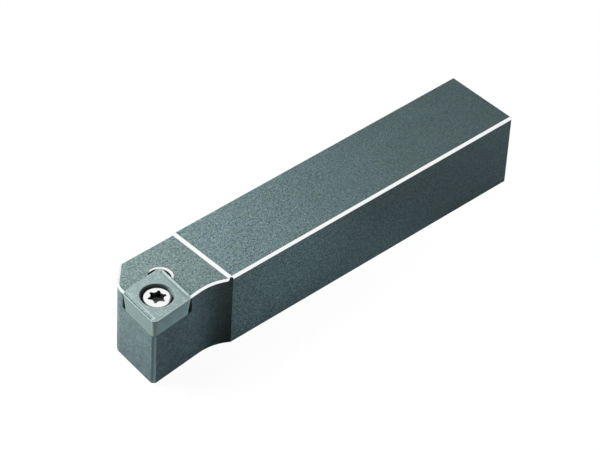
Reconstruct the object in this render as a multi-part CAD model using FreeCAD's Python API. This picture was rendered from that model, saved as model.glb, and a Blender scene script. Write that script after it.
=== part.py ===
import FreeCAD, Part
import math
import os
from FreeCAD import Vector

# External turning tool, right hand, with a screw-clamped insert. All sizes are in millimetres.
# The origin is the middle of the shank's base. +X runs to the cutting end, +Y to the cutting
# side and +Z up, so the base lies on Z = 0.

# Shank
shank_width = 16.0
shank_height = 16.0
shank_length = 70.9        # from the end face to the step in front of the head
bar_bevel = 0.45           # 45 degree bevel on the shank's top edges and all round the foot
end_bevel = 0.8            # 45 degree bevel round the end face

# Head, cut from the same bar
head_length = 18.5         # from the step to the foremost point of the insert
nose_proud = 0.12          # the nose stands this far out from the shank's side
head_drop = 0.5            # the head's top lies this far below the shank's top
head_bevel = 0.35          # 45 degree bevel on the head's top edges
neck_radius = 10.0         # hollow between the shank's side and the head's side
far_corner_back = 5.9      # how far behind the nose the far corner's slant begins
far_corner_angle = 45.0
far_corner_round = 3.0     # between that slant and the front face
wall_inset = 0.15          # front and side faces stand back from the insert's lower edge
nose_flat = 0.84           # width of the flat under the insert's nose

# Insert: an 80 degree rhomb with clearance faces
inscribed_circle = 9.525
nose_angle = 80.0
corner_radius = 1.0        # at the cutting edge; the clearance face narrows it below
least_foot_radius = 0.1    # but not to less than this at the insert's foot
insert_thickness = 3.97
clearance_angle = 7.0
front_tilt = 5.0           # the front edge leans back by this from square to the shank
insert_hole = 4.4          # diameter
mouth_bevel = 0.08         # 45 degree bevel round the hole's mouth
foot_bevel = 0.08          # and round its foot
groove_width = 0.75        # chip groove ground beside one edge of each sharp corner
groove_depth = 0.15
groove_land = 0.16         # flat strip left between the groove and the cutting edge
groove_stop = 0.9          # the groove ends this far before the sharp corner

# Pocket
wall_gap = 0.02            # between the insert's clearance faces and the pocket's walls
contact_band = 0.7         # height of wall that follows the clearance faces, upright below
relief_radius = 2.12       # clears the insert's inner corner
relief_inward = 1.81       # its centre, measured in from the sharp corner of the insert
relief_bevel = 0.28        # 45 degree bevel round the relief's mouth
bevel_shift = 0.1          # that bevel is cut this far to the side of the relief's centre

# Clamp screw, a small countersunk screw with a six-lobed socket
screw_diameter = 3.5
screw_length = 9.0         # over all
screw_point = 0.4          # 45 degree bevel on the tip
neck_undercut = 0.3        # the plain neck under the head is this much thinner, on the radius
neck_length = 1.6
screw_head = 5.24          # diameter
screw_head_round = 0.4     # radius of the head's top edge
screw_head_edge = 0.06     # straight edge between that and the cone
screw_cone = 60.0          # whole angle of the head's cone and of the insert's seat
screw_sink = 0.38          # head top below the insert's top
seat_gap = 0.02            # between the head's cone and the seat
thread_gap = 0.03          # between the screw and the tapped hole, on the radius
tapped_spare = 1.2         # hole depth beyond the screw's tip
tapped_mouth = 0.25        # bevel at the mouth of the tapped hole
drill_point = 118.0        # whole angle at the bottom of the hole

# Six-lobed socket
socket_tips = 3.42         # across the tips
socket_flats = 2.4         # across the hollows
socket_tip_radius = 0.28
socket_depth = 1.25
socket_turn = 37.6         # one tip's direction, in degrees from +X

# Places that follow from the sizes
step_x = shank_length / 2
end_x = -shank_length / 2
side_y = shank_width / 2
nose_x = step_x + head_length
head_top = shank_height - head_drop
insert_top = shank_height
insert_floor = insert_top - insert_thickness
half_nose = math.radians(nose_angle / 2)
lean = math.tan(math.radians(clearance_angle))
draw_in = insert_thickness * lean
nose_turn = math.radians(90 - front_tilt - nose_angle / 2)
half_long = inscribed_circle / 2 / math.sin(half_nose)
half_short = inscribed_circle / 2 / math.cos(half_nose)
nose_out = Vector(math.cos(nose_turn), math.sin(nose_turn), 0)
across = Vector(-nose_out.y, nose_out.x, 0)
nose_arc_reach = half_long - corner_radius / math.sin(half_nose)
insert_centre = Vector(
    nose_x - corner_radius - nose_arc_reach * nose_out.x,
    side_y + nose_proud - corner_radius - nose_arc_reach * nose_out.y,
    0,
)
nose_corner = insert_centre + nose_out * half_long
side_corner = insert_centre + across * half_short
far_corner = insert_centre - across * half_short
inner_corner = insert_centre - nose_out * half_long
side_along = (nose_corner - side_corner).normalize()
side_out = Vector(-side_along.y, side_along.x, 0)
front_along = (far_corner - nose_corner).normalize()
front_out = Vector(-front_along.y, front_along.x, 0)
head_cone_top = insert_top - screw_sink - screw_head_round - screw_head_edge
cone_slope = math.tan(math.radians(screw_cone / 2))
beyond = shank_width + head_length   # longer than anything that a cutter has to pass


def at_height(point, z):
    """The same plan place at another height."""
    return Vector(point.x, point.y, z)


def near(a, b):
    return abs(a - b) < 1e-4


def meet(p, along_p, q, along_q):
    """Point where two plan lines cross."""
    cross = along_p.x * along_q.y - along_p.y * along_q.x
    gap = q - p
    return p + along_p * ((gap.x * along_q.y - gap.y * along_q.x) / cross)


def round_corner(before, corner, after, radius):
    """Start, middle and end of the arc that rounds a plan corner."""
    back = (before - corner).normalize()
    ahead = (after - corner).normalize()
    half = back.getAngle(ahead) / 2
    run = radius / math.tan(half)
    inward = (back + ahead).normalize()
    middle = corner + inward * (radius / math.sin(half) - radius)
    return corner + back * run, middle, corner + ahead * run


def rounded_outline(corners, radius, z):
    """Closed plan wire with every corner rounded."""
    count = len(corners)
    arcs = []
    for i in range(count):
        arc = round_corner(corners[i - 1], corners[i], corners[(i + 1) % count], radius)
        arcs.append([at_height(point, z) for point in arc])
    edges = []
    for i in range(count):
        edges.append(Part.Arc(*arcs[i]).toShape())
        edges.append(Part.LineSegment(arcs[i][2], arcs[(i + 1) % count][0]).toShape())
    return Part.Wire(edges)


def prism(wire, height):
    return Part.Face(wire).extrude(Vector(0, 0, height))


def tapered(lower, upper):
    """Solid between two like wires: flat sides on straight edges, cones on arcs."""
    faces = [Part.Face(lower), Part.Face(upper)]
    for low, high in zip(lower.OrderedEdges, upper.OrderedEdges):
        a, b = [vertex.Point for vertex in low.Vertexes]
        c, d = [vertex.Point for vertex in high.Vertexes]
        if low.Curve.TypeId == "Part::GeomLine":
            faces.append(Part.Face(Part.makePolygon([a, b, d, c, a])))
        elif near(at_height(low.Curve.Center, 0).distanceToPoint(at_height(high.Curve.Center, 0)), 0):
            turn = math.degrees(low.LastParameter - low.FirstParameter)
            rule = Part.LineSegment(low.valueAt(low.FirstParameter), high.valueAt(high.FirstParameter))
            faces.append(rule.toShape().revolve(low.Curve.Center, low.Curve.Axis, turn))
        else:
            faces.append(Part.makeRuledSurface(low, high))
    shell = Part.Shell(faces)
    shell.sewShape()
    solid = Part.Solid(shell)
    if solid.Volume < 0:
        solid.reverse()
    return solid


def turned(profile, centre):
    """Solid of revolution about an upright axis, from (radius, z) points."""
    points = [Vector(r, 0, z) for r, z in profile]
    solid = Part.Face(Part.makePolygon(points + points[:1])).revolve(
        Vector(0, 0, 0), Vector(0, 0, 1), 360
    )
    solid.translate(at_height(centre, 0))
    return solid


def edges_where(shape, test):
    """Edges of a shape whose ends and middle all pass a test."""
    found = []
    for edge in shape.Edges:
        first, last = edge.ParameterRange
        spots = [edge.valueAt(first), edge.valueAt((first + last) / 2), edge.valueAt(last)]
        if all(test(spot) for spot in spots):
            found.append(edge)
    return found


def holder_outline():
    """Plan of the whole holder, anticlockwise from the far side of the end face.

    The front and side faces run beside the insert's two cutting edges and stand back from them.
    """
    face_inset = draw_in + wall_inset
    on_side = nose_corner - side_out * face_inset
    on_front = nose_corner - front_out * face_inset
    head_corner = meet(on_side, side_along, on_front, front_along)
    flat_run = nose_flat / 2 / math.sin(half_nose)
    flat_front = head_corner + front_along * flat_run
    flat_side = head_corner - side_along * flat_run

    slant_angle = math.radians(far_corner_angle)
    slant = Vector(math.cos(slant_angle), math.sin(slant_angle), 0)
    slant_start = Vector(nose_x - far_corner_back, -side_y, 0)
    slant_end = meet(slant_start, slant, on_front, front_along)
    round_start, round_middle, round_end = round_corner(
        slant_start, slant_end, flat_front, far_corner_round
    )

    # The neck's arc leaves the shank's side at the step and runs out along the side face.
    neck_start = Vector(step_x, side_y, 0)
    height = (neck_start - on_side).dot(side_out)
    along = (neck_start - on_side).dot(side_along)
    reach = along + math.sqrt(height * (2 * neck_radius - height))
    neck_end = on_side + side_along * reach
    neck_centre = neck_end + side_out * neck_radius
    to_middle = (neck_start + neck_end) * 0.5 - neck_centre
    neck_middle = neck_centre + to_middle.normalize() * neck_radius

    end_far = Vector(end_x, -side_y, 0)
    end_near = Vector(end_x, side_y, 0)
    return Part.Wire([
        Part.LineSegment(end_far, slant_start).toShape(),
        Part.LineSegment(slant_start, round_start).toShape(),
        Part.Arc(round_start, round_middle, round_end).toShape(),
        Part.LineSegment(round_end, flat_front).toShape(),
        Part.LineSegment(flat_front, flat_side).toShape(),
        Part.LineSegment(flat_side, neck_end).toShape(),
        Part.Arc(neck_end, neck_middle, neck_start).toShape(),
        Part.LineSegment(neck_start, end_near).toShape(),
        Part.LineSegment(end_near, end_far).toShape(),
    ])


def end_envelope():
    """Four slopes that bevel the end face, widening into a box round the rest of the bar."""
    spare = end_bevel
    sections = []
    for x, grow in ((end_x - spare, -end_bevel - spare), (end_x + end_bevel + spare, spare)):
        half = side_y + grow
        points = [
            Vector(x, -half, -grow),
            Vector(x, half, -grow),
            Vector(x, half, shank_height + grow),
            Vector(x, -half, shank_height + grow),
        ]
        sections.append(Part.makePolygon(points + points[:1]))
    slopes = tapered(*sections)
    return slopes.fuse(Part.Face(sections[1]).extrude(Vector(shank_length + beyond, 0, 0)))


def bevelled_bar():
    """The bar with its plan cut and its foot bevelled, all but the foot of the end face."""
    bar = prism(holder_outline(), shank_height)
    foot = edges_where(bar, lambda p: near(p.z, 0))
    past_end = end_x + end_bevel
    return bar.makeChamfer(bar_bevel, [edge for edge in foot if edge.BoundBox.XMax > past_end])


def shank_bevel(side):
    """Cutter that bevels one long top edge of the shank, as far as the foot of the step."""
    spare = bar_bevel
    outer = side_y + spare
    inner = side_y - bar_bevel - spare
    start = end_x - spare
    points = [
        Vector(start, side * inner, shank_height + spare),
        Vector(start, side * outer, shank_height - bar_bevel - spare),
        Vector(start, side * outer, shank_height + spare),
    ]
    run = step_x + head_drop - start
    return Part.Face(Part.makePolygon(points + points[:1])).extrude(Vector(run, 0, 0))


def lowered_head(bar):
    """Mills the head's top down, with a 45 degree slope at the step, and bevels its edges."""
    section = [
        Vector(step_x, -beyond, shank_height),
        Vector(step_x + head_drop, -beyond, head_top),
        Vector(step_x + beyond, -beyond, head_top),
        Vector(step_x + beyond, -beyond, shank_height + head_drop),
        Vector(step_x - head_drop, -beyond, shank_height + head_drop),
    ]
    cutter = Part.Face(Part.makePolygon(section + section[:1])).extrude(Vector(0, 2 * beyond, 0))
    body = bar.cut(cutter)
    slope_foot = step_x + head_drop
    rim = edges_where(body, lambda p: near(p.z, head_top))
    rim = [edge for edge in rim if edge.BoundBox.XMax > slope_foot + head_drop]
    return body.makeChamfer(head_bevel, rim)


def pocket_plan(outset, z):
    """Rhomb that the insert's two inner edges lie on, moved out and run far past the head."""
    corner = inner_corner - nose_out * (outset / math.sin(half_nose))
    along_side = (side_corner - inner_corner).normalize() * beyond
    along_far = (far_corner - inner_corner).normalize() * beyond
    points = [corner, corner + along_far, corner + along_far + along_side, corner + along_side]
    return Part.makePolygon([at_height(point, z) for point in points + points[:1]])


def insert_pocket():
    """Space for the insert: leaning walls above, upright ones below, and a corner relief."""
    band_foot = head_top - contact_band
    sky = insert_top + head_drop
    foot_outset = wall_gap - (insert_top - band_foot) * lean
    sky_outset = wall_gap - (insert_top - sky) * lean
    leaning = tapered(pocket_plan(foot_outset, band_foot), pocket_plan(sky_outset, sky))
    upright = prism(pocket_plan(foot_outset, insert_floor), band_foot - insert_floor)
    relief_centre = inner_corner + nose_out * relief_inward
    relief = Part.makeCylinder(relief_radius, sky - insert_floor, at_height(relief_centre, insert_floor))
    flare = sky - head_top + relief_bevel
    # The bevel's cutter starts inside the relief, so that its shift leaves no ledge.
    hidden = 2 * bevel_shift
    bevel = turned(
        [
            (0, sky - flare - hidden),
            (relief_radius - hidden, sky - flare - hidden),
            (relief_radius + flare, sky),
            (0, sky),
        ],
        relief_centre + across * bevel_shift,
    )
    return leaning.fuse(upright).fuse(relief).fuse(bevel)


def tapped_hole():
    """Blind hole under the pocket, drilled and bevelled, at the thread's outer size."""
    radius = screw_diameter / 2 + thread_gap
    mouth = radius + tapped_mouth
    foot = insert_top - screw_sink - screw_length - tapped_spare
    point_depth = radius / math.tan(math.radians(drill_point / 2))
    return turned(
        [
            (0, foot - point_depth),
            (radius, foot),
            (radius, insert_floor - tapped_mouth),
            (mouth, insert_floor),
            (mouth, insert_floor + tapped_mouth),
            (0, insert_floor + tapped_mouth),
        ],
        insert_centre,
    )


def make_holder():
    """One bar, milled to the head's shape, bevelled, and cut for the insert and its screw."""
    body = lowered_head(bevelled_bar())
    for side in (-1, 1):
        body = body.cut(shank_bevel(side))
    return body.common(end_envelope()).cut(insert_pocket()).cut(tapped_hole())


def insert_outline(inset, radius, z):
    """The insert's rhomb, moved in by an inset, with rounded corners."""
    long_reach = half_long - inset / math.sin(half_nose)
    short_reach = half_short - inset / math.cos(half_nose)
    corners = [
        insert_centre + nose_out * long_reach,
        insert_centre + across * short_reach,
        insert_centre - nose_out * long_reach,
        insert_centre - across * short_reach,
    ]
    return rounded_outline(corners, radius, z)


def chip_groove(sharp, blunt):
    """Round-bottomed groove beside the edge from a sharp corner to a blunt one."""
    along = (blunt - sharp).normalize()
    inward = Vector(-along.y, along.x, 0)
    if inward.dot(insert_centre - sharp) < 0:
        inward = inward * -1
    tool_radius = (groove_width ** 2 / 4 + groove_depth ** 2) / (2 * groove_depth)
    offset = groove_land + groove_width / 2
    start = sharp + along * (groove_stop + groove_width / 2) + inward * offset
    start = at_height(start, insert_top + tool_radius - groove_depth)
    run = (blunt - sharp).Length
    return Part.makeCylinder(tool_radius, run, start, along).fuse(
        Part.makeSphere(tool_radius, start)
    )


def screw_seat():
    """The insert's hole: a cone for the screw's head over a plain bore."""
    seat_radius = screw_head / 2 + seat_gap / math.cos(math.radians(screw_cone / 2))
    bore = insert_hole / 2
    cone_foot = head_cone_top - (seat_radius - bore) / cone_slope
    mouth_z = insert_top - mouth_bevel
    mouth = seat_radius + (mouth_z - head_cone_top) * cone_slope
    return turned(
        [
            (0, insert_floor - foot_bevel),
            (bore + 2 * foot_bevel, insert_floor - foot_bevel),
            (bore, insert_floor + foot_bevel),
            (bore, cone_foot),
            (mouth, mouth_z),
            (mouth + 2 * mouth_bevel, insert_top + mouth_bevel),
            (0, insert_top + mouth_bevel),
        ],
        insert_centre,
    )


def make_insert():
    """A sintered rhomb with clearance faces, screw seat and ground chip grooves."""
    foot_radius = max(corner_radius - draw_in, least_foot_radius)
    body = tapered(
        insert_outline(draw_in, foot_radius, insert_floor),
        insert_outline(0, corner_radius, insert_top),
    )
    body = body.cut(screw_seat())
    body = body.cut(chip_groove(nose_corner, far_corner))
    return body.cut(chip_groove(inner_corner, side_corner))


def socket_outline(z):
    """Six round tips joined by six hollows, each arc tangent to the next."""
    tip_reach = socket_tips / 2 - socket_tip_radius
    flat = socket_flats / 2
    thirty = math.cos(math.radians(30))
    hollow_radius = (
        (tip_reach ** 2 + flat ** 2 - 2 * tip_reach * flat * thirty - socket_tip_radius ** 2)
        / (2 * (socket_tip_radius - flat + tip_reach * thirty))
    )
    hollow_reach = flat + hollow_radius

    def polar(reach, degrees):
        angle = math.radians(socket_turn + degrees)
        return Vector(reach * math.cos(angle), reach * math.sin(angle), z)

    share = socket_tip_radius / (socket_tip_radius + hollow_radius)
    edges = []
    for turn in range(0, 360, 60):
        tip = polar(tip_reach, turn)
        before = tip + (polar(hollow_reach, turn - 30) - tip) * share
        after = tip + (polar(hollow_reach, turn + 30) - tip) * share
        next_tip = polar(tip_reach, turn + 60)
        next_before = next_tip + (polar(hollow_reach, turn + 30) - next_tip) * share
        edges.append(Part.Arc(before, polar(socket_tips / 2, turn), after).toShape())
        edges.append(Part.Arc(after, polar(flat, turn + 30), next_before).toShape())
    return Part.Wire(edges)


def screw_socket(top):
    """The six-lobed recess, with a drilled point below its floor."""
    floor = top - socket_depth
    recess = prism(socket_outline(floor), 2 * socket_depth)
    recess.translate(insert_centre)
    drill = socket_flats / 2
    point_depth = drill / math.tan(math.radians(drill_point / 2))
    return recess.fuse(turned([(0, floor - point_depth), (drill, floor), (0, floor)], insert_centre))


def make_screw():
    top = insert_top - screw_sink
    head = screw_head / 2
    thread = screw_diameter / 2
    neck = thread - neck_undercut
    neck_top = head_cone_top - (head - neck) / cone_slope
    neck_foot = neck_top - neck_length
    tip = top - screw_length
    body = turned(
        [
            (0, tip),
            (thread - screw_point, tip),
            (thread, tip + screw_point),
            (thread, neck_foot - neck_undercut),
            (neck, neck_foot),
            (neck, neck_top),
            (head, head_cone_top),
            (head, top),
            (0, top),
        ],
        insert_centre,
    )
    body = body.makeFillet(screw_head_round, edges_where(body, lambda p: near(p.z, top)))
    return body.cut(screw_socket(top))


parts = {
    "tool_holder": make_holder(),
    "cutting_insert": make_insert(),
    "clamp_screw": make_screw(),
}

os.makedirs("parts", exist_ok=True)
for name, shape in parts.items():
    if not shape.isValid() or len(shape.Solids) != 1:
        raise ValueError(name + " is not one closed solid")
    shape.Solids[0].exportStep("parts/" + name + ".step")
    print(name, "volume", round(shape.Volume, 2), "box", shape.BoundBox)
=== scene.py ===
import math

import bpy
from mathutils import Matrix, Vector


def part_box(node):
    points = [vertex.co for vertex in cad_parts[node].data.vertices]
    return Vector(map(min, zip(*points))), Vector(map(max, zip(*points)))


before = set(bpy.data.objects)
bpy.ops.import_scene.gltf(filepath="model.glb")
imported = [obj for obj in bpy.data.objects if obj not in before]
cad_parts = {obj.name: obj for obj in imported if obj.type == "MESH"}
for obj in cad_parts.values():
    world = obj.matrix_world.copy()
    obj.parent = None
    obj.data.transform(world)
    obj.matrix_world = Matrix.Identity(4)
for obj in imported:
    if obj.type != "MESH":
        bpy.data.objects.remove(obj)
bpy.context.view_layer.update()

MM = 0.001                    # one millimetre; lengths below are in millimetres, angles in degrees

# Camera, as it stood for the photograph
camera_azimuth = 45.112       # from +X towards +Y
camera_elevation = 40.871
camera_roll = 3.429
camera_target = (10.371, -1.378, 8.0)
camera_distance = 569.879
camera_lens = 186.286
camera_sensor = 36.0          # width
camera_near = 10.0            # nothing nearer than this or farther than the next is seen
camera_far = 20000.0

# Lamps: place, point aimed at, size, spread, watts and colour
lamps = {
    "key_lamp": ((96.0, -46.0, 64.0), (46.0, 0.0, 12.0), 45.0, 180.0, 0.08, (1.0, 1.0, 1.0)),
    "top_lamp": ((66.0, -50.0, 98.0), (46.0, 0.0, 12.0), 60.0, 180.0, 0.079, (1.0, 1.0, 1.0)),
    "near_side_lamp": ((-12.0, 42.0, 20.0), (32.0, 8.0, 8.0), 20.0, 44.0, 0.0009, (0.9, 1.0, 1.12)),
    "middle_side_lamp": (
        (1.0, 60.0, 5.0), (-0.5, 8.0, -6.5), 22.0, 38.0, 0.00042, (0.9, 1.0, 1.12),
    ),
    "far_side_lamp": (
        (-82.0, 50.0, 26.0), (-52.0, 8.0, 8.0), 40.0, 180.0, 0.0079, (0.86, 1.0, 1.16),
    ),
}
ambient_level = 0.006         # what the surroundings add to matt surfaces

# Dark parts of the studio that bright metal mirrors: direction, and how many degrees from it
# the dark part is whole and has ended
dark_sides = (
    ((0.68, 0.72, 0.12), 24.0, 44.0),
    ((-0.98, -0.10, 0.15), 28.0, 46.0),
)
dark_level = 0.12             # what their whole part still mirrors

# Floor
floor_size = 6000.0
floor_gap = 0.02              # keeps the floor just under the base
floor_grey = 0.25             # how much light the floor gives back to the part
shadow_seen = 0.07            # how strongly the part's shadow shows on the white floor
shadow_mirrored = 0.95        # and how strongly the part's own surfaces mirror it
lit_middle = (90.0, -50.0, 0.0)   # where the lamps light the floor most
lit_seen = (30.0, 150.0)      # their light fades over this range around it, as the camera sees it
lit_mirrored = (40.0, 260.0)  # and as the part mirrors it

# Colours, linear
blasted_dark = (0.080, 0.128, 0.132)
blasted_green = (0.236, 0.345, 0.330)
blasted_blue = (0.232, 0.335, 0.352)
blasted_grey = (0.252, 0.334, 0.322)  # on the head's top
# Painted shade and painted highlight on the narrow flat under the insert's nose
strip_shade = (0.21, 0.38, 0.37)
strip_highlight = (0.42, 0.64, 0.63)
# Painted shade on the walls of the insert's pocket and its relief
pocket_shade = (0.010, 0.014, 0.015)
worn_steel = (0.5, 0.58, 0.58)
cut_dull = (0.95, 0.965, 0.965)
cut_bright = (0.97, 0.98, 0.98)
carbide_dark = (0.225, 0.305, 0.300)
carbide_light = (0.325, 0.415, 0.405)
# Painted highlights, and light specks, on the carbide
carbide_speck_and_highlight = (0.60, 0.74, 0.71)
flank_front = (0.235, 0.350, 0.340)   # the flank that faces +X, and the one that faces +Y, lighter by painted light
flank_side_lit = (0.58, 0.83, 0.80)
flank_nose_lit = (0.68, 0.94, 0.91)       # the rounded corner between them, lighter still by painted light
# Painted shade in the screw's seat, lighter at its rim, and a painted glint on one side
deep_shade = (0.006, 0.008, 0.009)
seat_rim_shade = (0.06, 0.085, 0.083)
seat_glint = (0.17, 0.22, 0.215)
plated_dull = (0.9, 0.915, 0.91)
plated = (0.96, 0.97, 0.96)
# Painted dark reflection on one side of the screw's head
plated_dark_reflection = (0.42, 0.53, 0.51)
socket_dark = (0.03, 0.034, 0.034)
# Painted highlight on the lit part of the socket's floor
socket_floor_highlight = (0.90, 0.92, 0.91)
floor_white = (1.0, 1.0, 1.0)

# Places on the part
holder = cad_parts["tool_holder"]
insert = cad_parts["cutting_insert"]
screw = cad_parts["clamp_screw"]
screw_low, screw_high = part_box("clamp_screw")
screw_axis = (screw_low + screw_high) / 2 / MM
screw_top = screw_high.z / MM
insert_floor, insert_top = [corner.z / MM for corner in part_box("cutting_insert")]
holder_low, holder_high = [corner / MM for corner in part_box("tool_holder")]
end_bevel_depth = 0.82        # along X, a little past the bevel round the shank's end
step_x = 35.45                # where the head begins
head_top = 15.5
inscribed_radius = 4.7625     # of the insert's rhomb, about the screw's axis
nose_azimuth = 45.0
nose_angle = 80.0
nose_radius = 1.0
seat_mouth_radius = 3.08      # where the seat's cone meets the bevel round the mouth
seat_mouth_bevel = 0.08
socket_depth = 1.25
socket_reach = 1.78
pocket_margin = 0.45          # the pocket's walls lie within this of the rhomb
pocket_gap = 0.05             # they start this far under its floor and end this far inside the head
head_gap = 0.02               # and this far under the head's top
relief_centre = (44.852, -0.978)
relief_radius = 2.2           # a little past the relief's wall
slack = 0.005                 # lets a limit take in the edge it stands on

# How far a face's normal points one way
bevel_share = math.sqrt(0.5)  # a 45 degree bevel's, give or take the slack
bevel_slack = 0.03
upright_share = 0.3           # upright faces point up or down less than this
facing_share = 0.6            # faces that look along X or Y point there more than this
neck_share = 0.4              # the neck's curved side points to +Y more than this
top_share = (0.5, 0.9)        # a face counts as a top over this range

# Noises: how large their grains are, their detail and their roughness
side_grain = (0.33, 3.0, 0.6)
top_grain = (0.22, 3.0, 0.7)
steel_specks = (0.5, 3.0, 0.8)
steel_clouds = (5.0, 2.0, 0.5)
steel_blotches = (1.1, 3.0, 0.6)
steel_hues = (1.8, 2.0, 0.5)
steel_sparks = (0.3, 2.0, 0.6)
cut_lines = (0.2, 2.0, 0.5)
cut_stretch = (0.08, 1.0, 1.0)   # draws the lines out along X
carbide_grain = (0.18, 2.0, 0.6)
carbide_clouds = (1.6, 3.0, 0.6)
carbide_sparks = (0.36, 2.0, 0.6)
screw_marks = (0.3, 3.0, 0.6)

# Ranges of a noise that a look is spread over
most = (0.3, 0.7)
middle = (0.35, 0.65)

# Ranges below hold a value's two limits, and where there are four numbers, what they turn into

# Tone of the blasted steel, from its dark colour at nought to its light one at one
grain_tone = (0.25, 1.0, -0.55, 1.6)
speck_tone = (0.3, 0.9, -0.22, 0.6)
cloud_tone = (*most, 0.44, 0.52)
blotch_tone = (*middle, -0.14, 0.14)
hue_range = (0.4, 0.6)        # from the green steel to the blue one
grain_fade = (-30.0, 45.0, 0.58, 1.0)   # along X: weaker towards the far end
side_strength = 1.08
top_strength = 1.34
head_side_strength = 0.55
head_top_strength = 0.9
steel_spark_range = (0.60, 0.70, 0.0, 0.6)

# Shade painted on the blasted steel
neck_length = 9.0             # how far the hollow's shade reaches along X
neck_shade = (0.0, head_top, 0.79, 0.60)     # from the base up
foot_height = (0.4, 1.5)      # the foot's shade is whole below the first and ends at the second
foot_shade = 0.35
foot_shade_side = 0.12        # on faces that look to +Y
front_shade = (1.0, 9.0, 0.16, 0.0)     # from the base up, on faces that look to +X
under_insert_shadow = (-0.25, -0.1, 0.0, 0.6)    # painted shadow under the insert, above the insert's floor
strip_split = (-0.15, 0.2)    # from the strip's middle: painted shade before it, painted highlight past it
strip_highlight_height = (-0.7, -0.35, 1.0, 0.0)    # above the insert's floor, as the next is; the painted highlight gives way to painted shadow under the insert
# the painted shade on the pocket's walls fades upwards over this height above the insert's floor
pocket_fade = (1.6, 3.0, 1.0, 0.55)
shadow_spot = (35.7, 7.8, 15.58)     # a painted shadow spot where the shank's bevel meets the step
shadow_spot_radius = 0.36

# Surface of the blasted steel and its bright bevels
edge_samples = 6
edge_range = (0.86, 0.985)    # cosine of the rounded normal's turn where wear is whole and has ended
steel_edge_radius = 0.09
steel_edge_wear = (*middle, 0.15, 0.5)
steel_metallic = 0.14
steel_rough = (*most, 0.52, 0.68)
steel_grain_depth = 0.035
steel_specular = 0.25
cut_rough = (*most, 0.22, 0.34)
pocket_rough = 0.95

# Tone of the carbide, and the painted light on its flanks, which turns from front to side round the nose
carbide_grain_tone = (*most, -0.25, 0.25)
carbide_cloud_tone = (*most, 0.2, 0.8)
flank_tone = (0.0, 1.0, 0.88, 1.12)
nose_turn_y = (-0.05, 0.3)
nose_turn_x = (0.0, 0.3)
side_share = 0.5              # the side flank's normal points to +Y more than this

# Looks of the insert's top and seat, and the surface of the carbide
top_depth = 0.2               # the top and its grooves lie in this depth
flat_share = 0.9              # the flat top's normal points up more than this
groove_share = (0.3, 0.995)   # the normals of a groove's bed point up this much
groove_shade = 0.15           # painted shade: how much the bed beside the front edge is darkened
groove_end = 4.78             # along the front edge from its middle
groove_line = (0.32, 0.43)    # inside the front edge: a dark line of painted shade
groove_line_shade = 0.55
groove_rim = (0.86, 1.06)     # and the groove's inner rim, with a painted highlight
groove_rim_highlight = (-1.0, 4.0, 0.14, 0.45)   # along the edge: brighter towards the nose
groove_rim_start = 1.0        # it starts this far past the groove's end away from the nose
run_out_reach = 0.45          # of the painted highlight at the bed's end by the nose, to each side of the groove's end
run_out_highlight = 0.45
rear_highlight = (0.3, 0.5, 0.32, 0.05)     # painted highlight inside the rear edge, on the rear groove's bed
rear_end = (2.2, 3.4, 1.0, 0.0)         # and along that edge
carbide_spark_range = (0.58, 0.66, 0.0, 0.5)
edge_line = (0.10, 0.22, 1.0, 0.0)      # painted highlight inside the two outer edges and the nose
edge_line_highlight = 0.6
low_edge_highlight = (0.08, 0.22, 0.55, 0.0)     # painted highlight along the flanks' lower edges, above the insert's floor
seat_rim_radius = (2.75, 3.05)          # from the seat's painted deep shade to its rim
seat_glint_reach = (2.45, 2.95)          # towards the seat's painted glint
seat_glint_turn = 30.0         # from the screw's side with the painted dark reflection to the seat's painted glint
carbide_edge_radius = 0.08
carbide_edge_highlight = 0.7
carbide_metallic = 0.25
carbide_rough = (*most, 0.36, 0.5)
carbide_grain_depth = 0.01
carbide_specular = 0.2

# Looks of the screw
dark_reflection_azimuth = 135.0          # the side of the head with a painted dark reflection, grey
dark_reflection_reach = (2.0, 2.5, 0.0, 0.85)           # towards that side
socket_start = 0.03           # the dark of the socket starts this far down
socket_floor_gap = 0.05       # the light floor is taken in from this far above it
socket_floor_reach = (-0.8, -0.1)            # towards the nose: painted highlight past the second
socket_floor_marks = (0.35, 0.6)             # and blotched over this range of the marks
socket_metallic = 0.4
socket_rough = 0.4
screw_rough = (*most, 0.16, 0.3)
screw_mark_depth = 0.006
screw_edge_radius = 0.05
screw_specular = 0.5


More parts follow.
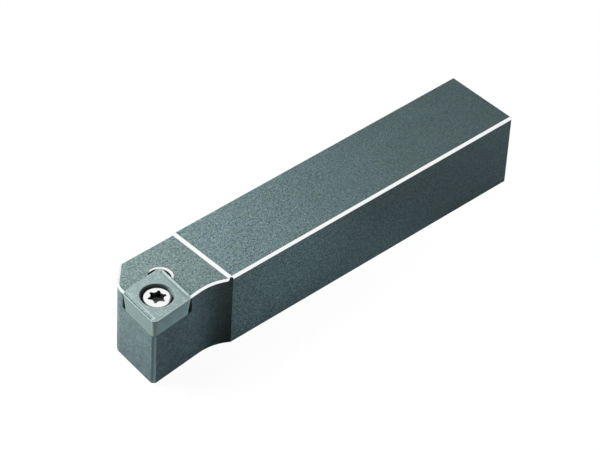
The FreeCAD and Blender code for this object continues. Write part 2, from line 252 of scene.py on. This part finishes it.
class Graph:
    """The node tree of a material or world, with short calls for the nodes that it needs."""

    def __init__(self, owner):
        owner.use_nodes = True
        self.owner = owner
        self.tree = owner.node_tree
        self.tree.nodes.clear()

    def node(self, kind, **settings):
        made = self.tree.nodes.new("ShaderNode" + kind)
        for key, value in settings.items():
            setattr(made, key, value)
        return made

    def feed(self, socket, value):
        """Links a socket to another, or sets it to a plain value."""
        if isinstance(value, bpy.types.NodeSocket):
            self.tree.links.new(value, socket)
        elif isinstance(value, tuple) and socket.type == "RGBA":
            socket.default_value = (*value, 1.0)
        else:
            socket.default_value = value

    def math(self, operation, a, b=0.0):
        made = self.node("Math", operation=operation)
        self.feed(made.inputs[0], a)
        self.feed(made.inputs[1], b)
        return made.outputs[0]

    def ramp(self, value, low, high, to_low=0.0, to_high=1.0):
        """Smoothly maps a value from one range to another, clamped."""
        made = self.node("MapRange", interpolation_type="SMOOTHSTEP")
        for place, item in enumerate((value, low, high, to_low, to_high)):
            self.feed(made.inputs[place], item)
        return made.outputs[0]

    def mix(self, factor, a, b, clamped=True):
        """Blends two colours, or goes past them where the factor isn't clamped."""
        made = self.node("Mix", data_type="RGBA", clamp_factor=clamped)
        self.feed(made.inputs[0], factor)
        self.feed(made.inputs[6], a)
        self.feed(made.inputs[7], b)
        return made.outputs[2]

    def tint(self, color, shade):
        """Multiplies a colour by a number."""
        made = self.node("VectorMath", operation="SCALE")
        self.feed(made.inputs[0], color)
        self.feed(made.inputs["Scale"], shade)
        return made.outputs[0]

    def between(self, factor, a, b):
        """Blends two numbers."""
        made = self.node("Mix", data_type="FLOAT")
        self.feed(made.inputs[0], factor)
        self.feed(made.inputs[2], a)
        self.feed(made.inputs[3], b)
        return made.outputs[0]

    def dot(self, a, b):
        made = self.node("VectorMath", operation="DOT_PRODUCT")
        self.feed(made.inputs[0], a)
        self.feed(made.inputs[1], b)
        return made.outputs["Value"]

    def distance(self, place, point):
        made = self.node("VectorMath", operation="DISTANCE")
        self.feed(made.inputs[0], place)
        self.feed(made.inputs[1], point)
        return made.outputs["Value"]

    def position(self):
        """Place on the part, in millimetres."""
        made = self.node("VectorMath", operation="SCALE")
        self.feed(made.inputs[0], self.node("TexCoord").outputs["Object"])
        self.feed(made.inputs["Scale"], 1 / MM)
        return made.outputs[0]

    def true_normal(self):
        return self.node("NewGeometry").outputs["True Normal"]

    def parts_of(self, vector):
        made = self.node("SeparateXYZ")
        self.feed(made.inputs[0], vector)
        return made.outputs

    def noise(self, place, size, detail, rough, stretch=None):
        """Noise whose grains are about one size, in millimetres, across."""
        if stretch:
            scaled = self.node("VectorMath", operation="MULTIPLY")
            self.feed(scaled.inputs[0], place)
            self.feed(scaled.inputs[1], stretch)
            place = scaled.outputs[0]
        made = self.node("TexNoise")
        self.feed(made.inputs["Vector"], place)
        self.feed(made.inputs["Scale"], 1 / size)
        self.feed(made.inputs["Detail"], detail)
        self.feed(made.inputs["Roughness"], rough)
        return made.outputs[0]

    def rounded(self, radius):
        """Normal that turns smoothly over each sharp edge."""
        made = self.node("Bevel", samples=edge_samples)
        self.feed(made.inputs["Radius"], radius * MM)
        return made.outputs[0]

    def edge_wear(self, soft_normal):
        """One along the sharp edges and nought elsewhere."""
        whole, ended = edge_range
        return self.ramp(self.dot(soft_normal, self.true_normal()), ended, whole)

    def bump(self, height, depth, normal):
        """Normal shaped by a height from nought to one, of a depth in millimetres."""
        made = self.node("Bump")
        self.feed(made.inputs["Distance"], depth * MM)
        self.feed(made.inputs["Height"], height)
        self.feed(made.inputs["Normal"], normal)
        return made.outputs[0]

    def finish(self, color, metallic, roughness, normal, specular):
        shader = self.node("BsdfPrincipled")
        self.feed(shader.inputs["Base Color"], color)
        self.feed(shader.inputs["Metallic"], metallic)
        self.feed(shader.inputs["Roughness"], roughness)
        self.feed(shader.inputs["Normal"], normal)
        self.feed(shader.inputs["Specular IOR Level"], specular)
        output = self.node("OutputMaterial")
        self.feed(output.inputs["Surface"], shader.outputs[0])
        return self.owner


def either(graph, a, b):
    return graph.math("MAXIMUM", a, b)


def both(graph, first, *others):
    for other in others:
        first = graph.math("MULTIPLY", first, other)
    return first


def inverse(graph, value):
    """One where a share is nought, and nought where it is one."""
    return graph.math("SUBTRACT", 1.0, value)


def below(graph, value, limit):
    return graph.math("LESS_THAN", value, limit)


def above(graph, value, limit):
    return graph.math("GREATER_THAN", value, limit)


def close_to(graph, value, target, reach):
    """One where a value is within reach of a target."""
    away = graph.math("ABSOLUTE", graph.math("SUBTRACT", value, target))
    return below(graph, away, reach)


def within(graph, value, low, high):
    return close_to(graph, value, (low + high) / 2, (high - low) / 2)


def squared_distance(graph, x, y, point):
    """Level distance from an upright line, squared."""
    along = graph.math("SUBTRACT", x, point[0])
    across = graph.math("SUBTRACT", y, point[1])
    return graph.math("ADD", graph.math("POWER", along, 2.0), graph.math("POWER", across, 2.0))


def distance_from_axis(graph, x, y):
    """Distance from the screw's axis."""
    return graph.math("SQRT", squared_distance(graph, x, y, screw_axis))


def toward(graph, x, y, azimuth):
    """How far a place lies from the screw's axis in a level direction."""
    angle = math.radians(azimuth)
    along = graph.math("MULTIPLY", graph.math("SUBTRACT", x, screw_axis.x), math.cos(angle))
    across = graph.math("MULTIPLY", graph.math("SUBTRACT", y, screw_axis.y), math.sin(angle))
    return graph.math("ADD", along, across)


def rhomb_sides(graph, x, y):
    """Distances towards the insert's front edge and its side edge."""
    turn = 90.0 - nose_angle / 2
    return toward(graph, x, y, nose_azimuth - turn), toward(graph, x, y, nose_azimuth + turn)


def from_cutting_edge(graph, place, x, y):
    """How far inside the insert's two outer edges and its nose a place on its top lies."""
    front, side = rhomb_sides(graph, x, y)
    straight = graph.math("SUBTRACT", inscribed_radius, either(graph, front, side))
    half = math.radians(nose_angle / 2)
    out = (inscribed_radius - nose_radius) / math.sin(half)
    turn = math.radians(nose_azimuth)
    centre = (screw_axis.x + out * math.cos(turn), screw_axis.y + out * math.sin(turn), insert_top)
    turned = graph.math("SUBTRACT", nose_radius, graph.distance(place, centre))
    reach = out * math.cos(half)
    past_side = above(graph, toward(graph, x, y, nose_azimuth - nose_angle / 2), reach)
    past_front = above(graph, toward(graph, x, y, nose_azimuth + nose_angle / 2), reach)
    return graph.between(both(graph, past_side, past_front), straight, turned)


def under_insert(graph, x, y):
    """One below the insert and a little past its edges."""
    front, side = rhomb_sides(graph, x, y)
    limit = inscribed_radius + pocket_margin
    return both(graph, close_to(graph, front, 0.0, limit), close_to(graph, side, 0.0, limit))


def pocket_walls(graph, x, y, z, normal):
    """One on the upright walls round the insert's pocket and its relief, where shade is painted."""
    relief = below(graph, squared_distance(graph, x, y, relief_centre), relief_radius ** 2)
    walls = both(
        graph,
        either(graph, under_insert(graph, x, y), relief),
        close_to(graph, normal[2], 0.0, upright_share),
        above(graph, z, insert_floor - pocket_gap),
        below(graph, z, head_top - head_gap),
        below(graph, x, holder_high.x - pocket_gap),
        below(graph, y, holder_high.y - pocket_gap),
    )
    raised = graph.math("SUBTRACT", z, insert_floor)
    return both(graph, walls, either(graph, relief, graph.ramp(raised, *pocket_fade)))


def nose_strip(graph, x, y, z, normal):
    """The narrow flat under the insert's nose: where it is, and where its right part has a painted
    highlight, which gives way to painted shadow under the insert.
    """
    flat = both(
        graph,
        above(graph, normal[0], facing_share),
        above(graph, normal[1], facing_share),
        below(graph, z, insert_floor),
    )
    across = graph.math("SUBTRACT", graph.math("SUBTRACT", y, x), screw_axis.y - screw_axis.x)
    raised = graph.math("SUBTRACT", z, insert_floor)
    wear_and_painted_light = both(graph, graph.ramp(across, *strip_split), graph.ramp(raised, *strip_highlight_height))
    return flat, wear_and_painted_light


def bright_bevels(graph, x, normal):
    """One on the bevels along the top and bottom edges and round the shank's end."""
    tilted_up = close_to(graph, graph.math("ABSOLUTE", normal[2]), bevel_share, bevel_slack)
    tilted_back = close_to(graph, graph.math("ABSOLUTE", normal[0]), bevel_share, bevel_slack)
    at_end = below(graph, x, holder_low.x + end_bevel_depth)
    return either(graph, tilted_up, both(graph, tilted_back, at_end))


def steel_shade(graph, x, z, normal):
    """Share of the colour that is left: less in the neck's hollow, along the foot and low in front."""
    hollow = both(
        graph,
        above(graph, x, step_x),
        above(graph, normal[1], neck_share),
        graph.ramp(x, step_x, step_x + neck_length, 1.0, 0.0),
        graph.ramp(z, *neck_shade),
    )
    on_side = above(graph, normal[1], facing_share)
    foot = graph.ramp(z, *foot_height, graph.between(on_side, foot_shade, foot_shade_side), 0.0)
    front = both(graph, above(graph, normal[0], facing_share), graph.ramp(z, *front_shade))
    return inverse(graph, either(graph, hollow, either(graph, foot, front)))


def blasted_steel():
    """Bead-blasted grey steel whose 45 degree bevels were cut bright after blasting."""
    g = Graph(bpy.data.materials.new("blasted_steel"))
    place = g.position()
    x, y, z = g.parts_of(place)
    normal = g.parts_of(g.true_normal())
    cut = bright_bevels(g, x, normal)
    on_top = g.ramp(normal[2], *top_share)
    on_head = above(g, x, step_x)
    head_side = both(g, on_head, inverse(g, on_top))
    head_face = both(g, on_head, on_top)

    # Tone: grain and specks that fade towards the far end, blotches on the head, and clouds.
    grain = g.between(on_top, g.noise(place, *side_grain), g.noise(place, *top_grain))
    specks = g.noise(place, *steel_specks)
    nearer = g.ramp(x, *grain_fade)
    strength = both(
        g,
        nearer,
        g.between(on_top, side_strength, top_strength),
        g.between(head_side, 1.0, head_side_strength),
        g.between(head_face, 1.0, head_top_strength),
    )
    tone = both(g, g.math("ADD", g.ramp(grain, *grain_tone), g.ramp(specks, *speck_tone)), strength)
    tone = g.math("ADD", tone, both(g, head_side, g.ramp(g.noise(place, *steel_blotches), *blotch_tone)))
    tone = g.math("ADD", tone, g.ramp(g.noise(place, *steel_clouds), *cloud_tone))
    hue = g.ramp(g.noise(place, *steel_hues), *hue_range)
    light = g.mix(head_face, g.mix(hue, blasted_green, blasted_blue), blasted_grey)
    color = g.mix(tone, blasted_dark, light, clamped=False)

    color = g.tint(color, steel_shade(g, x, z, normal))
    # Painted shadow under the insert's overhang
    raised = g.math("SUBTRACT", z, insert_floor)
    insert_shadow = both(g, under_insert(g, x, y), g.ramp(raised, *under_insert_shadow), below(g, z, insert_floor))
    color = g.tint(color, inverse(g, insert_shadow))
    # Painted shade and painted highlight on the narrow flat under the insert's nose
    strip, strip_highlight_share = nose_strip(g, x, y, z, normal)
    color = g.mix(strip, color, g.mix(strip_highlight_share, strip_shade, strip_highlight))

    soft = g.rounded(steel_edge_radius)
    wear_and_painted_light = both(g, g.edge_wear(soft), g.ramp(specks, *steel_edge_wear))
    color = g.mix(wear_and_painted_light, color, worn_steel)
    sparks = g.ramp(g.noise(place, *steel_sparks), *steel_spark_range)
    color = g.mix(both(g, on_top, sparks, nearer, nearer), color, worn_steel)
    # Painted shade on the walls of the insert's pocket and its relief
    shaded_pocket = pocket_walls(g, x, y, z, normal)
    color = g.mix(shaded_pocket, color, pocket_shade)

    lines = g.noise(place, *cut_lines, cut_stretch)
    color = g.mix(cut, color, g.mix(g.ramp(lines, *middle), cut_dull, cut_bright))
    # A painted shadow spot where the shank's bevel meets the step
    in_shadow_spot = below(g, g.distance(place, shadow_spot), shadow_spot_radius)
    color = g.mix(in_shadow_spot, color, socket_dark)
    metallic = g.between(both(g, cut, inverse(g, in_shadow_spot)), steel_metallic, 1.0)
    metallic = both(g, metallic, inverse(g, shaded_pocket))
    rough = g.between(cut, g.ramp(specks, *steel_rough), g.ramp(lines, *cut_rough))
    rough = g.between(shaded_pocket, rough, pocket_rough)
    shaped = g.bump(both(g, grain, inverse(g, cut)), steel_grain_depth, soft)
    return g.finish(color, metallic, rough, shaped, steel_specular)


def chip_grooves(graph, color, x, y, normal, top):
    """Paints light and shade on the grooves: painted shade on the front groove's bed and a dark line in
    it, and painted highlights on its inner rim, its end by the nose and the rear groove's edge.
    """
    front = rhomb_sides(graph, x, y)[0]
    along = toward(graph, x, y, nose_azimuth + nose_angle / 2)
    inside = graph.math("SUBTRACT", inscribed_radius, front)
    low_share, high_share = groove_share
    bed = both(graph, above(graph, normal[2], low_share), below(graph, normal[2], high_share), top)
    at_front = above(graph, front, 0.0)
    shade = graph.math("MULTIPLY", both(graph, bed, at_front), groove_shade)
    color = graph.tint(color, inverse(graph, shade))
    from_rear = graph.math("ADD", inscribed_radius, front)
    rear = both(graph, graph.ramp(from_rear, *rear_highlight), graph.ramp(along, *rear_end))
    color = graph.mix(both(graph, bed, inverse(graph, at_front), rear), color, carbide_speck_and_highlight)

    on_groove = both(graph, top, below(graph, along, groove_end))
    line = both(graph, on_groove, within(graph, inside, *groove_line))
    color = graph.mix(both(graph, line, groove_line_shade), color, deep_shade)
    rim = both(
        graph,
        on_groove,
        within(graph, inside, *groove_rim),
        graph.ramp(along, *groove_rim_highlight),
        above(graph, along, groove_rim_start - groove_end),
    )
    color = graph.mix(rim, color, carbide_speck_and_highlight)
    run_out = both(graph, bed, close_to(graph, along, groove_end, run_out_reach), run_out_highlight)
    return graph.mix(run_out, color, carbide_speck_and_highlight)


def seat_finish(graph, x, y, z):
    """Where the screw's seat is, and its colour: painted deep shade, lighter painted shade at its rim,
    and a painted glint on one side.
    """
    radius = distance_from_axis(graph, x, y)
    seat = both(
        graph,
        below(graph, radius, seat_mouth_radius + slack),
        below(graph, z, insert_top - seat_mouth_bevel + slack),
    )
    color = graph.mix(graph.ramp(radius, *seat_rim_radius), deep_shade, seat_rim_shade)
    wear_and_painted_light = graph.ramp(toward(graph, x, y, dark_reflection_azimuth + seat_glint_turn), *seat_glint_reach)
    return seat, graph.mix(wear_and_painted_light, color, seat_glint)


def carbide():
    """Ground cemented carbide: light satin grey, with painted highlights at its honed edges and painted
    shade in its seat.
    """
    g = Graph(bpy.data.materials.new("carbide"))
    place = g.position()
    x, y, z = g.parts_of(place)
    normal = g.parts_of(g.true_normal())
    top = above(g, z, insert_top - top_depth)
    upright = close_to(g, normal[2], 0.0, upright_share)

    grain = g.noise(place, *carbide_grain)
    clouds = g.noise(place, *carbide_clouds)
    tone = g.math("ADD", g.ramp(grain, *carbide_grain_tone), g.ramp(clouds, *carbide_cloud_tone))
    color = g.mix(tone, carbide_dark, carbide_light)
    # Painted light: the +Y flank and the nose are lighter than the +X flank
    at_nose = both(g, g.ramp(normal[1], *nose_turn_y), g.ramp(normal[0], *nose_turn_x))
    flank = g.mix(above(g, normal[1], side_share), flank_front, flank_side_lit)
    flank = g.mix(at_nose, flank, flank_nose_lit)
    color = g.mix(upright, color, g.tint(flank, g.ramp(tone, *flank_tone)))
    color = chip_grooves(g, color, x, y, normal, top)
    sparks = both(g, top, g.ramp(g.noise(place, *carbide_sparks), *carbide_spark_range))
    color = g.mix(sparks, color, carbide_speck_and_highlight)

    # Painted highlights: light lines along the honed cutting edges and the lower edges of the flanks.
    edge = both(
        g,
        g.ramp(from_cutting_edge(g, place, x, y), *edge_line),
        above(g, normal[2], flat_share),
        top,
        edge_line_highlight,
    )
    raised = g.math("SUBTRACT", z, insert_floor)
    low_edge = both(g, upright, g.ramp(raised, *low_edge_highlight))
    color = g.mix(either(g, edge, low_edge), color, carbide_speck_and_highlight)
    soft = g.rounded(carbide_edge_radius)
    # Painted highlight along the sharp edges
    color = g.mix(both(g, g.edge_wear(soft), carbide_edge_highlight), color, carbide_speck_and_highlight)

    # Painted shade in the screw's seat
    seat, seat_color = seat_finish(g, x, y, z)
    color = g.mix(seat, color, seat_color)
    rough = g.ramp(clouds, *carbide_rough)
    metallic = g.between(either(g, seat, upright), carbide_metallic, 0.0)
    return g.finish(color, metallic, rough, g.bump(grain, carbide_grain_depth, soft), carbide_specular)


def bright_screw():
    """Plated steel screw, dark inside its six-lobed socket, with a painted highlight on part of the
    socket's floor and a painted dark reflection on one side of its head.
    """
    g = Graph(bpy.data.materials.new("bright_screw"))
    place = g.position()
    x, y, z = g.parts_of(place)
    inside = below(g, distance_from_axis(g, x, y), socket_reach)
    inside = both(g, inside, below(g, z, screw_top - socket_start))
    marks = g.noise(place, *screw_marks)
    color = g.mix(g.ramp(marks, *most), plated_dull, plated)
    # Painted dark reflection on one side of the head
    wear_and_painted_light = g.ramp(toward(g, x, y, dark_reflection_azimuth), *dark_reflection_reach)
    color = g.mix(wear_and_painted_light, color, plated_dark_reflection)
    color = g.mix(inside, color, socket_dark)
    # Painted highlight on the lit part of the socket's floor
    floor = both(
        g,
        inside,
        below(g, z, screw_top - socket_depth + socket_floor_gap),
        g.ramp(toward(g, x, y, nose_azimuth), *socket_floor_reach),
    )
    color = g.mix(both(g, floor, g.ramp(marks, *socket_floor_marks)), color, socket_floor_highlight)
    rough = g.between(inside, g.ramp(marks, *screw_rough), socket_rough)
    metallic = g.between(floor, g.between(inside, 1.0, socket_metallic), 0.0)
    shaped = g.bump(marks, screw_mark_depth, g.rounded(screw_edge_radius))
    return g.finish(color, metallic, rough, shaped, screw_specular)


def white_to_view(graph):
    """One for rays from the camera and for mirrored and bent ones."""
    path = graph.node("LightPath").outputs
    seen = either(graph, path["Is Camera Ray"], path["Is Glossy Ray"])
    return either(graph, seen, path["Is Transmission Ray"])


def floor_finish():
    """A floor that looks white, keeps the part's shadow, and gives little light back to it."""
    g = Graph(bpy.data.materials.new("pale_floor"))
    by_camera = g.node("LightPath").outputs["Is Camera Ray"]
    seen = white_to_view(g)
    share = g.between(by_camera, shadow_mirrored, shadow_seen)
    away = g.distance(g.position(), lit_middle)
    lit_to_part = g.ramp(away, *lit_mirrored, 1.0, 0.0)
    lit = g.between(by_camera, lit_to_part, g.ramp(away, *lit_seen, 1.0, 0.0))
    matt = g.node("BsdfDiffuse")
    g.feed(matt.inputs["Color"], g.between(seen, floor_grey, share))
    glow = g.node("Emission")
    g.feed(glow.inputs["Color"], floor_white)
    g.feed(glow.inputs["Strength"], both(g, seen, inverse(g, both(g, share, lit))))
    total = g.node("AddShader")
    g.feed(total.inputs[0], matt.outputs[0])
    g.feed(total.inputs[1], glow.outputs[0])
    output = g.node("OutputMaterial")
    g.feed(output.inputs["Surface"], total.outputs[0])
    g.owner.cycles.emission_sampling = "NONE"
    return g.owner


def add_floor():
    bpy.ops.mesh.primitive_plane_add(size=floor_size * MM, location=(0, 0, -floor_gap * MM))
    floor = bpy.context.object
    floor.name = "floor"
    floor.data.materials.append(floor_finish())


def add_world():
    """Surroundings that look white, mirror as a studio with dark sides, and light the part a little."""
    g = Graph(bpy.data.worlds.new("studio"))
    by_camera = g.node("LightPath").outputs["Is Camera Ray"]
    direction = g.node("TexCoord").outputs["Generated"]
    mirrored = 1.0
    for middle_direction, whole, ended in dark_sides:
        edge = (math.cos(math.radians(ended)), math.cos(math.radians(whole)))
        side = g.ramp(g.dot(direction, middle_direction), *edge, 1.0, dark_level)
        mirrored = g.math("MINIMUM", side, mirrored)
    seen = g.between(by_camera, mirrored, 1.0)
    background = g.node("Background")
    g.feed(background.inputs["Color"], floor_white)
    g.feed(background.inputs["Strength"], g.between(white_to_view(g), ambient_level, seen))
    output = g.node("OutputWorld")
    g.feed(output.inputs["Surface"], background.outputs[0])
    g.owner.cycles.sampling_method = "NONE"
    bpy.context.scene.world = g.owner


def add_lamp(name, place, aim, size, spread, watts, color):
    light = bpy.data.lights.new(name, "AREA")
    light.size = size * MM
    light.spread = math.radians(spread)
    light.energy = watts
    light.color = color
    lamp = bpy.data.objects.new(name, light)
    place = Vector(place) * MM
    aim = Vector(aim) * MM
    lamp.location = place
    lamp.rotation_mode = "QUATERNION"
    lamp.rotation_quaternion = (aim - place).to_track_quat("-Z", "Y")
    lamp.visible_camera = False
    lamp.visible_glossy = False
    bpy.context.scene.collection.objects.link(lamp)


def add_camera():
    azimuth = math.radians(camera_azimuth)
    elevation = math.radians(camera_elevation)
    roll = math.radians(camera_roll)
    back = Vector((
        math.cos(elevation) * math.cos(azimuth),
        math.cos(elevation) * math.sin(azimuth),
        math.sin(elevation),
    ))
    level_right = Vector((-math.sin(azimuth), math.cos(azimuth), 0))
    level_up = back.cross(level_right)
    right = level_right * math.cos(roll) + level_up * math.sin(roll)
    up = level_up * math.cos(roll) - level_right * math.sin(roll)
    place = Vector(camera_target) * MM + back * (camera_distance * MM)
    camera = bpy.data.objects.new("camera", bpy.data.cameras.new("camera"))
    camera.data.sensor_width = camera_sensor
    camera.data.lens = camera_lens
    camera.data.clip_start = camera_near * MM
    camera.data.clip_end = camera_far * MM
    turn = Matrix((right, up, back)).transposed().to_4x4()
    camera.matrix_world = Matrix.Translation(place) @ turn
    bpy.context.scene.collection.objects.link(camera)
    bpy.context.scene.camera = camera


def dress(node, material):
    """Gives a carried-over piece its finish."""
    for slot in node.material_slots:
        slot.material = material


dress(holder, blasted_steel())
dress(insert, carbide())
dress(screw, bright_screw())
add_floor()
add_world()
for lamp_name, lamp_values in lamps.items():
    add_lamp(lamp_name, *lamp_values)
add_camera()
bpy.context.scene.view_settings.view_transform = "Standard"
